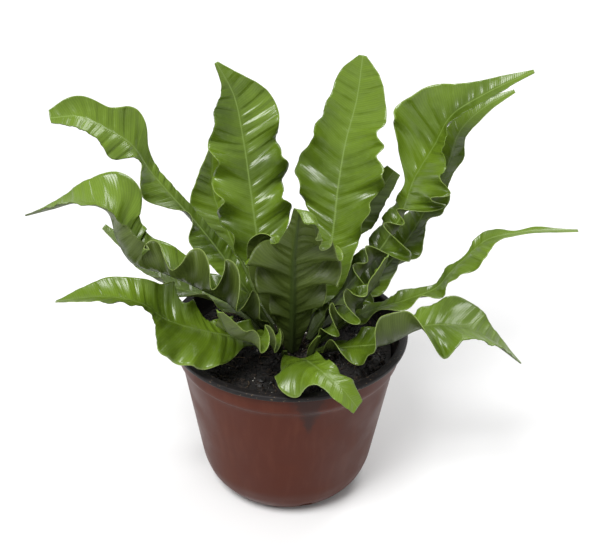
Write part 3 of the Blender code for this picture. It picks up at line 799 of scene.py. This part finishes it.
def rounded(points, radius, steps=6):
    """Replaces each inner corner by a curve: (1-t)^2 a + 2t(1-t) corner + t^2 b, where a and b lie
    one radius before and after it, or half way to its neighbour if that is nearer."""
    points = np.asarray(points, float)
    run = [points[:1]]
    t = np.linspace(0, 1, steps)[:, None]
    for before, corner, after in zip(points[:-2], points[1:-1], points[2:]):
        ends = []
        for other in (before, after):
            away = other - corner
            distance = np.linalg.norm(away)
            ends.append(corner + away / distance * min(radius, distance / 2))
        run.append((1 - t) ** 2 * ends[0] + 2 * t * (1 - t) * corner + t**2 * ends[1])
    run.append(points[-1:])
    return np.concatenate(run)


def filled(points, longest):
    """Adds points so that no run is longer than this."""
    pieces = []
    for a, b in zip(points[:-1], points[1:]):
        count = max(1, int(np.ceil(np.linalg.norm(b - a) / longest)))
        pieces.append(a + (b - a) * np.arange(count)[:, None] / count)
    return np.concatenate([*pieces, points[-1:]])


def turned(profile, sides=TURNS):
    """Spins (radius, height) points about Z. The first and last lie on the axis and stay one point.
    Point (k, j) = (radius cos(turn), radius sin(turn), height). Also returns each face's row."""
    here = np.arange(sides)
    turn = here * 2 * np.pi / sides
    radius, height = profile[1:-1].T
    rings = np.stack([
        radius[:, None] * np.cos(turn),
        radius[:, None] * np.sin(turn),
        np.broadcast_to(height[:, None], (len(radius), sides)),
    ], axis=-1)
    count = len(radius)
    quads = grid_quads(count, sides)
    following = (here + 1) % sides
    first = np.full(sides, count * sides)
    last = first + 1
    top = np.stack([following, here, first, first], axis=1)
    end = (count - 1) * sides
    bottom = np.stack([end + here, end + following, last, last], axis=1)
    poles = np.array([[0, 0, profile[0][1]], [0, 0, profile[-1][1]]])
    rows = np.concatenate([np.arange(len(quads)) // sides + 1, 0 * here, np.full(sides, count)])
    points = np.concatenate([rings.reshape(-1, 3), poles])
    return points, np.concatenate([quads, top, bottom]), rows


step_height = POT_HEIGHT - COLLAR_DEPTH
rim_foot = POT_HEIGHT - RIM_BAND
inner_radius = COLLAR_RADIUS - WALL
outside = rounded([
    (0.0, 0.0),
    (FOOT_RADIUS, 0.0),
    (WALL_FOOT_RADIUS - 7.0, FOOT_HEIGHT * 0.17),
    (WALL_FOOT_RADIUS - 2.5, FOOT_HEIGHT * 0.55),
    (WALL_FOOT_RADIUS, FOOT_HEIGHT),
    (WALL_TOP_RADIUS, step_height - STEP_RISE),
    (COLLAR_RADIUS - COLLAR_DRAFT, step_height),
    (COLLAR_RADIUS, rim_foot + 0.4),
], radius=2.5)
rim = rounded([
    (COLLAR_RADIUS, rim_foot + 0.4),
    (COLLAR_RADIUS + 0.2, rim_foot - 0.2),
    (RIM_RADIUS, rim_foot + 0.1),
    (RIM_RADIUS, POT_HEIGHT),
    (inner_radius, POT_HEIGHT),
    (inner_radius, POT_HEIGHT - 2.5),
], radius=1.1)
inside = rounded([
    (inner_radius, POT_HEIGHT - 2.5),
    (inner_radius - COLLAR_DRAFT, step_height + 0.6),
    (WALL_TOP_RADIUS - WALL, step_height - 1.0),
    (WALL_FOOT_RADIUS - WALL, FOOT_HEIGHT + 0.2),
    (WALL_FOOT_RADIUS - 2.5 - WALL, FOOT_HEIGHT * 0.55 + 0.4),
    (WALL_FOOT_RADIUS - 8.0, FOOT_HEIGHT * 0.17 + 0.9),
    (FOOT_RADIUS - 0.7, WALL),
    (0.0, WALL),
], radius=2.5)
parts = [filled(run, LONGEST_RUN) for run in (outside, rim, inside)]
pot_profile = np.concatenate([parts[0], parts[1][1:], parts[2][1:]])
print("pot profile:", len(pot_profile), "points")

# %% [markdown]
# ## Pot finishes
# The brown side is polypropylene coloured with iron-oxide pigment. Drawing the sheet leaves a soft
# satin skin with a faint vertical streakiness, and handling leaves dull marks and a smear of wet
# soil under the rim. The black side has nearly the same gloss, with specks of dried soil on it.

# %% Pot materials
STREAK_SCALE = 260.0
PATCH_SCALE = 45.0
GRAIN_SCALE = 1500.0
SPECK_SCALE = 700.0
SMEAR_SCALE = 300.0
SMEAR_X = 11.0
SMEAR_FOOT = 62.0


def drawn_plastic(name, base, worn, roughness):
    """Thermoformed polypropylene: base colour, with patches of the worn colour and long streaks."""
    made, add, shader = start_material(name, {"Specular IOR Level": 0.15})
    spot = add("TexCoord", out="Object")
    tall = add("Mapping", {"Vector": spot, "Scale": (1.0, 1.0, 0.12)})
    streak = add("TexNoise", {"Vector": tall, "Scale": STREAK_SCALE, "Detail": 4.0})
    patch = add("TexNoise", {"Vector": spot, "Scale": PATCH_SCALE, "Detail": 5.0})
    grain = add("TexNoise", {"Vector": spot, "Scale": GRAIN_SCALE, "Detail": 1.0})
    streaked = add("MapRange", [streak, 0.45, 0.75], **EASED)
    rubbed = add("MapRange", [patch, 0.5, 0.75, 0.0, 0.35], **EASED)
    share = add("Math", [streaked, 0.35, rubbed], operation="MULTIPLY_ADD")
    skin = add("Mix", {0: share, 6: base, 7: worn}, **COLOURS)
    dull = [patch, 0.35, 0.7, roughness - 0.06, roughness + 0.12]
    dull = add("MapRange", dull, **EASED)
    bump = add("Bump", {"Height": grain, "Strength": 0.12, "Distance": 0.06 * MM})
    fill(shader, {"Roughness": dull, "Normal": bump})
    return made, add, shader, spot, skin


def brown_outside():
    """The brown side, with a smear that runs down from the rim and narrows to its foot."""
    name = "brown_drawn_polypropylene"
    made, add, shader, spot, skin = drawn_plastic(name, "471C0D", "542A1B", roughness=0.4)
    place = add("SeparateXYZ", [spot]).node.outputs
    offset = add("Math", [place["X"], SMEAR_X * MM], operation="SUBTRACT")
    aside = add("Math", [offset], operation="ABSOLUTE")
    ends = [place["Z"], SMEAR_FOOT * MM, POT_HEIGHT * MM, 1.5 * MM, 11 * MM]
    half = add("MapRange", ends, **EASED)
    rough = add("TexNoise", {"Vector": spot, "Scale": SMEAR_SCALE, "Detail": 4.0})
    across = add("Math", [aside, half], operation="DIVIDE")
    ragged = add("Math", [rough, 1.4, across], operation="MULTIPLY_ADD")
    smear = add("MapRange", [ragged, 1.0, 1.9, 0.8, 0.0], **EASED)
    low, high = (SMEAR_FOOT - 2) * MM, (SMEAR_FOOT + 6) * MM
    above = add("MapRange", [place["Z"], low, high], **EASED)
    front = add("MapRange", [place["Y"], -0.03, -0.02, 1.0, 0.0], **EASED)
    smear = add("Math", [smear, above], operation="MULTIPLY")
    smear = add("Math", [smear, front], operation="MULTIPLY")
    skin = add("Mix", {0: smear, 6: skin, 7: "2A1B18"}, **COLOURS)
    fill(shader, {"Base Color": skin})
    return made


def black_inside():
    """The black side, with pale specks of dried soil."""
    name = "black_drawn_polypropylene"
    made, add, shader, spot, skin = drawn_plastic(name, "151313", "2A2727", roughness=0.42)
    speck = add("TexNoise", {"Vector": spot, "Scale": SPECK_SCALE, "Detail": 2.0})
    dried = add("MapRange", [speck, 0.64, 0.7, 0.0, 0.7], **EASED)
    skin = add("Mix", {0: dried, 6: skin, 7: "6A5A48"}, **COLOURS)
    fill(shader, {"Base Color": skin})
    return made


# %% [markdown]
# ## Drain holes
# Round holes go through the bend at the foot of the wall. A Boolean cuts them from the turned pot,
# with short rods as cutters, which are removed afterwards.

# %% Make the pot
HOLES = 6
HOLE_RADIUS = 3.5
FIRST_HOLE = 16.0
HOLE_TILT = 130.0
HOLE_INSET = 5.5
ROD_SIDES = 28
ROD_HALF = 5.0


def rod(turn):
    """A cutting rod, square to the wall's bend at this turn about Z (degrees)."""
    profile = [(0, -ROD_HALF), (HOLE_RADIUS, -ROD_HALF), (HOLE_RADIUS, ROD_HALF), (0, ROD_HALF)]
    points, quads, _ = turned(np.array(profile), ROD_SIDES)
    tilt = np.radians(HOLE_TILT)
    turn = np.radians(turn)
    lean = np.array([[np.cos(tilt), 0, np.sin(tilt)], [0, 1, 0], [-np.sin(tilt), 0, np.cos(tilt)]])
    spin = np.array([[np.cos(turn), -np.sin(turn), 0], [np.sin(turn), np.cos(turn), 0], [0, 0, 1]])
    centre = spin @ np.array([WALL_FOOT_RADIUS - HOLE_INSET, 0, FOOT_HEIGHT * 0.3])
    return make_piece("hole_cutter", points @ (spin @ lean).T + centre, quads, [])


def make_pot():
    points, quads, rows = turned(pot_profile)
    black = rows >= len(parts[0]) - 2
    pot = make_piece("pot_shell", points, quads, [brown_outside(), black_inside()], black)
    cutters = [rod(FIRST_HOLE - 90 + 360 / HOLES * k) for k in range(HOLES)]
    for cutter in cutters:
        cut = pot.modifiers.new("Drain hole", "BOOLEAN")
        cut.operation = "DIFFERENCE"
        cut.object = cutter
    graph = bpy.context.evaluated_depsgraph_get()
    cut_mesh = bpy.data.meshes.new_from_object(pot.evaluated_get(graph))
    pot.modifiers.clear()
    pot.data = cut_mesh
    for cutter in cutters:
        bpy.data.objects.remove(cutter, do_unlink=True)
    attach(pot, "root")
    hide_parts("pot")
    return pot


pot = make_pot()
print("pot:", len(pot.data.polygons), "faces")

# %% [markdown]
# ## Potting mix
# The mix is composted bark and peat: nearly black when damp, with crumbs, chips of bark, a few
# grains of white perlite and fine roots. Its body is a turned solid with an uneven top. The crumbs
# could be scattered by geometry nodes, but numpy can place every crumb at once and join them in one
# mesh, and each crumb is a lumpy solid of twenty faces.

# %% Potting mix body
SOIL_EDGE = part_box("soil")[1][0] / MM
SOIL_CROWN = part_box("soil")[1][2] / MM
SOIL_DOME = 2.0
SOIL_RINGS = 84
FIT_GAP = 0.4


def soil_height(place):
    """Height of the soil's top at (x, y): a low dome, plus waves about 16, 6 and 3 mm long."""
    radius = np.linalg.norm(place, axis=-1)
    dome = SOIL_CROWN - 0.8 - SOIL_DOME * (radius / SOIL_EDGE) ** 1.5
    lumps = uneven(place, 16.0, 3) + 0.55 * uneven(place, 6.0, 4) + 0.25 * uneven(place, 2.6, 5)
    return dome + lumps * np.clip((SOIL_EDGE - radius) / 6, 0.25, 1)


def make_soil():
    """A turned solid one gap inside the pot's wall, with its top rings raised to soil_height."""
    gap = FIT_GAP + WALL
    side = [
        (SOIL_EDGE, SOIL_CROWN - SOIL_DOME - 1.5),
        (WALL_TOP_RADIUS - gap - 0.5, step_height - 2.5),
        (WALL_FOOT_RADIUS - gap, FOOT_HEIGHT + 1.0),
        (WALL_FOOT_RADIUS - 3.0 - gap, FOOT_HEIGHT * 0.6 + 0.5),
        (WALL_FOOT_RADIUS - 9.5, FOOT_HEIGHT * 0.17 + 1.4),
        (FOOT_RADIUS - 2.0, gap),
        (0.0, gap),
    ]
    radius = np.linspace(0, SOIL_EDGE, SOIL_RINGS)[:-1]
    top = np.column_stack([radius, 0 * radius])
    profile = np.concatenate([top, filled(np.array(side), 3.0)])
    points, quads, _ = turned(profile)
    is_top = np.arange(len(points)) < (SOIL_RINGS - 2) * TURNS
    points[is_top, 2] = soil_height(points[is_top, :2])
    points[-2, 2] = soil_height(np.zeros(2))
    return points, quads


# %% [markdown]
# ## Potting mix finishes
# Damp bark and peat scatter almost no light, and only small wet facets glint. Perlite is glassy
# rock popped by heat: off-white, matt and stained a little by the mix.

# %% Potting mix materials
STAIN_SCALE = 500.0


def damp_mix(name, dark, light, size):
    """Composted bark: a dark colour with lighter fibres about size mm across, and wet glints."""
    made, add, shader = start_material(name)
    spot = add("TexCoord", out="Object")
    scale = 1.0 / (size * MM)
    grit = add("TexNoise", {"Vector": spot, "Scale": scale, "Detail": 6.0})
    cloud = add("TexNoise", {"Vector": spot, "Scale": scale * 0.13, "Detail": 2.0})
    skin = add("ValToRGB", [grit], stops=[(0.42, dark), (0.78, light)])
    damp = add("MapRange", [cloud, 0.4, 0.7, 0.0, 0.6], **EASED)
    skin = add("Mix", {0: damp, 6: skin, 7: dark}, **COLOURS)
    wet = add("MapRange", [cloud, 0.45, 0.65, 0.9, 0.5], **EASED)
    bump = add("Bump", {"Height": grit, "Strength": 0.8, "Distance": 0.4 * MM})
    fill(shader, {"Base Color": skin, "Roughness": wet, "Normal": bump})
    return made


def perlite_finish():
    made, add, shader = start_material("popped_perlite", {"Roughness": 0.85})
    spot = add("TexCoord", out="Object")
    stain = add("TexNoise", {"Vector": spot, "Scale": STAIN_SCALE, "Detail": 3.0})
    skin = add("ValToRGB", [stain], stops=[(0.35, "7E776C"), (0.6, "D8D4CA")])
    fill(shader, {"Base Color": skin})
    return made


mix = damp_mix("damp_bark_and_peat", "0B0A09", "2E2620", size=1.6)
chips = damp_mix("bark_chips", "130F0C", "4A3B2E", size=0.9)
perlite = perlite_finish()
points, quads = make_soil()
soil = make_piece("soil_body", points, quads, [mix])
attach(soil, "root")
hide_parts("soil")
print("soil:", len(quads), "faces")

# %% Crumbs, bark and perlite
GOLDEN = (1 + np.sqrt(5)) / 2
CRUMBS = 2600
CHIPS = 420
GRAINS = 70


def ball():
    """The twelve corners and twenty faces of a regular icosahedron, of radius one."""
    signs = np.array([(a, b) for a in (-1, 1) for b in (-1, 1)], float)
    corners = np.concatenate([
        np.column_stack([np.zeros(4), signs[:, 0], signs[:, 1] * GOLDEN]),
        np.column_stack([signs[:, 0], signs[:, 1] * GOLDEN, np.zeros(4)]),
        np.column_stack([signs[:, 1] * GOLDEN, np.zeros(4), signs[:, 0]]),
    ])
    near = np.linalg.norm(corners[:, None] - corners[None], axis=-1)
    touch = np.isclose(near, 2.0)
    faces = [(a, b, c) for a in range(12) for b in range(a + 1, 12) for c in range(b + 1, 12)
             if touch[a, b] and touch[b, c] and touch[a, c]]
    faces = np.array(faces)
    a, b, c = (corners[faces[:, k]] for k in range(3))
    inwards = np.einsum("ij,ij->i", a, np.cross(b, c)) < 0
    faces[inwards] = faces[inwards][:, ::-1]
    return corners / np.sqrt(1 + GOLDEN**2), faces


def lumps(name, places, sizes, longer, seed, finish):
    """One mesh of lumpy solids: each is the ball with its corners moved in and out by chance,
    stretched, turned a chance way, and set at its place."""
    corners, faces = ball()
    chance = np.random.default_rng(seed)
    count = len(places)
    bumps = corners * chance.uniform(0.65, 1.15, (count, 12, 1))
    stretch = np.column_stack([chance.uniform(0.7, longer, count), chance.uniform(0.6, 1, count),
                               chance.uniform(0.35, 0.8, count)])
    turn, _ = np.linalg.qr(chance.normal(size=(count, 3, 3)))
    turn *= np.sign(np.linalg.det(turn))[:, None, None]
    shaped = bumps * stretch[:, None] * sizes[:, None, None] / 2
    points = (np.einsum("nij,nkj->nki", turn, shaped) + places[:, None]).reshape(-1, 3)
    corner = ((np.arange(count) * 12)[:, None, None] + faces).reshape(-1, 3)
    piece = make_piece(name, points, np.column_stack([corner, corner[:, 2]]), [finish])
    piece.data.shade_flat()
    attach(piece, "root")
    return piece


def scatter(count, seed, sink):
    """Chance places spread evenly over the soil's top, sunk by this many mm or, below 0, raised."""
    chance = np.random.default_rng(seed)
    radius = np.sqrt(chance.uniform(0, 1, count)) * (SOIL_EDGE - 2.0)
    turn = chance.uniform(0, 2 * np.pi, count)
    flat = np.column_stack([radius * np.cos(turn), radius * np.sin(turn)])
    return np.column_stack([flat, soil_height(flat) - sink])


chance = np.random.default_rng(71)
sizes = chance.gamma(4, 0.42, CRUMBS)
crumbs = lumps("soil_crumbs", scatter(CRUMBS, 72, 0.0), sizes, 1.3, 73, mix)
sizes = chance.uniform(1.6, 4.6, CHIPS)
bark = lumps("bark_chips", scatter(CHIPS, 74, -0.2), sizes, 1.7, 75, chips)
sizes = chance.uniform(0.9, 2.4, GRAINS)
grains = lumps("perlite_grains", scatter(GRAINS, 76, -0.3), sizes, 1.1, 77, perlite)
print("crumbs:", sum(len(piece.data.polygons) for piece in (crumbs, bark, grains)), "faces")

# %% [markdown]
# ## Roots and fibres
# Fine roots and bark fibres lie on the mix in loose arcs. Each is a thin tube of a few sides along
# a curve. All of them are worked out at once as one array of rings, and their ends are closed.

# %% Fibres
FIBRE_RINGS = 14
FIBRE_SIDES = 6
FIBRE_TAPER = 0.7
ROOTS = 60


def fibres(name, starts, directions, lengths, widths, seed, finish):
    """Tubes along start + direction t + a chance bow. Each ring is width/2 (side cos + up sin)."""
    chance = np.random.default_rng(seed)
    count = len(starts)
    t = np.linspace(0, 1, FIBRE_RINGS)
    ahead = directions / np.linalg.norm(directions, axis=1)[:, None]
    side = np.cross(ahead, [0.0, 0.0, 1.0])
    side /= np.linalg.norm(side, axis=1)[:, None]
    up = np.cross(side, ahead)
    bow = chance.uniform(-0.35, 0.35, (count, 2))
    aside = bow[:, :1] * lengths[:, None] * np.sin(np.pi * t)
    raised = np.abs(bow[:, 1:]) * lengths[:, None] * 0.3 * np.sin(np.pi * t)
    line = starts[:, None] + (ahead * lengths[:, None])[:, None] * t[None, :, None]
    line = line + aside[..., None] * side[:, None]
    line = line + raised[..., None] * up[:, None]
    thick = widths[:, None] / 2 * (1 - FIBRE_TAPER * t**2)
    angle = np.arange(FIBRE_SIDES) * 2 * np.pi / FIBRE_SIDES
    ring = np.cos(angle)[:, None] * side[:, None, None] + np.sin(angle)[:, None] * up[:, None, None]
    points = line[:, :, None] + thick[..., None, None] * ring
    last = (FIBRE_RINGS - 1) * FIBRE_SIDES
    caps = np.array([[3, 2, 1, 0], [0, 5, 4, 3], [last, last + 1, last + 2, last + 3],
                     [last + 3, last + 4, last + 5, last]])
    quads = np.concatenate([grid_quads(FIBRE_RINGS, FIBRE_SIDES), caps])
    quads = (np.arange(count) * FIBRE_RINGS * FIBRE_SIDES)[:, None, None] + quads
    piece = make_piece(name, points.reshape(-1, 3), quads.reshape(-1, 4), [finish])
    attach(piece, "root")
    return piece


root_skin, _, _ = start_material("dry_root_skin", {"Base Color": "5B4A35", "Roughness": 0.8})
chance = np.random.default_rng(81)
starts = scatter(ROOTS, 82, -0.4)
ways = np.column_stack([chance.normal(size=(ROOTS, 2)), np.zeros(ROOTS)])
lengths = chance.uniform(4, 13, ROOTS)
widths = chance.uniform(0.18, 0.5, ROOTS)
roots = fibres("fine_roots", starts, ways, lengths, widths, 83, root_skin)

# %% [markdown]
# ## Rhizome
# The fronds rise from a short upright rhizome, hidden under narrow brown scales. Its body is a
# small dome, and the scales are fibres that point up and outwards between the frond stalks.

# %% Rhizome and scales
RHIZOME_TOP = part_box("rhizome")[1][2] / MM
RHIZOME_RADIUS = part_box("rhizome")[1][0] / MM
RHIZOME_RISE = 6.0
SCALES = 260


def make_rhizome():
    """A dome: radius R cos(a), height foot + rise sin(a), with small lumps."""
    foot = RHIZOME_TOP - RHIZOME_RISE
    angle = np.linspace(0, np.pi / 2, 16)[1:-1]
    dome = np.column_stack([RHIZOME_RADIUS * np.cos(angle), foot + RHIZOME_RISE * np.sin(angle)])
    base = [[0, foot - 1], [RHIZOME_RADIUS, foot - 1]]
    points, quads, _ = turned(np.concatenate([base, dome, [[0, RHIZOME_TOP]]]))
    points = points * (1 + 0.04 * uneven(points, 3.0, 91)[:, None] * [1, 1, 0.1])
    return points, quads


scale_look = {"Base Color": "2C2115", "Roughness": 0.7}
scale_skin, _, _ = start_material("papery_brown_scale", scale_look)
points, quads = make_rhizome()
rhizome = make_piece("rhizome_body", points, quads, [scale_skin])
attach(rhizome, "root")
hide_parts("rhizome")
chance = np.random.default_rng(92)
turn = chance.uniform(0, 2 * np.pi, SCALES)
radius = chance.uniform(1.0, 15.0, SCALES)
flat = np.column_stack([radius * np.cos(turn), radius * np.sin(turn)])
starts = np.column_stack([flat, soil_height(flat) - 0.4])
outwards = flat / radius[:, None] + chance.normal(0, 0.4, (SCALES, 2))
ways = np.column_stack([outwards, chance.uniform(0.4, 2.2, SCALES)])
lengths = chance.uniform(2.0, 6.0, SCALES)
widths = chance.uniform(0.3, 0.9, SCALES)
scales = fibres("rhizome_scales", starts, ways, lengths, widths, 93, scale_skin)
print("rhizome ready")
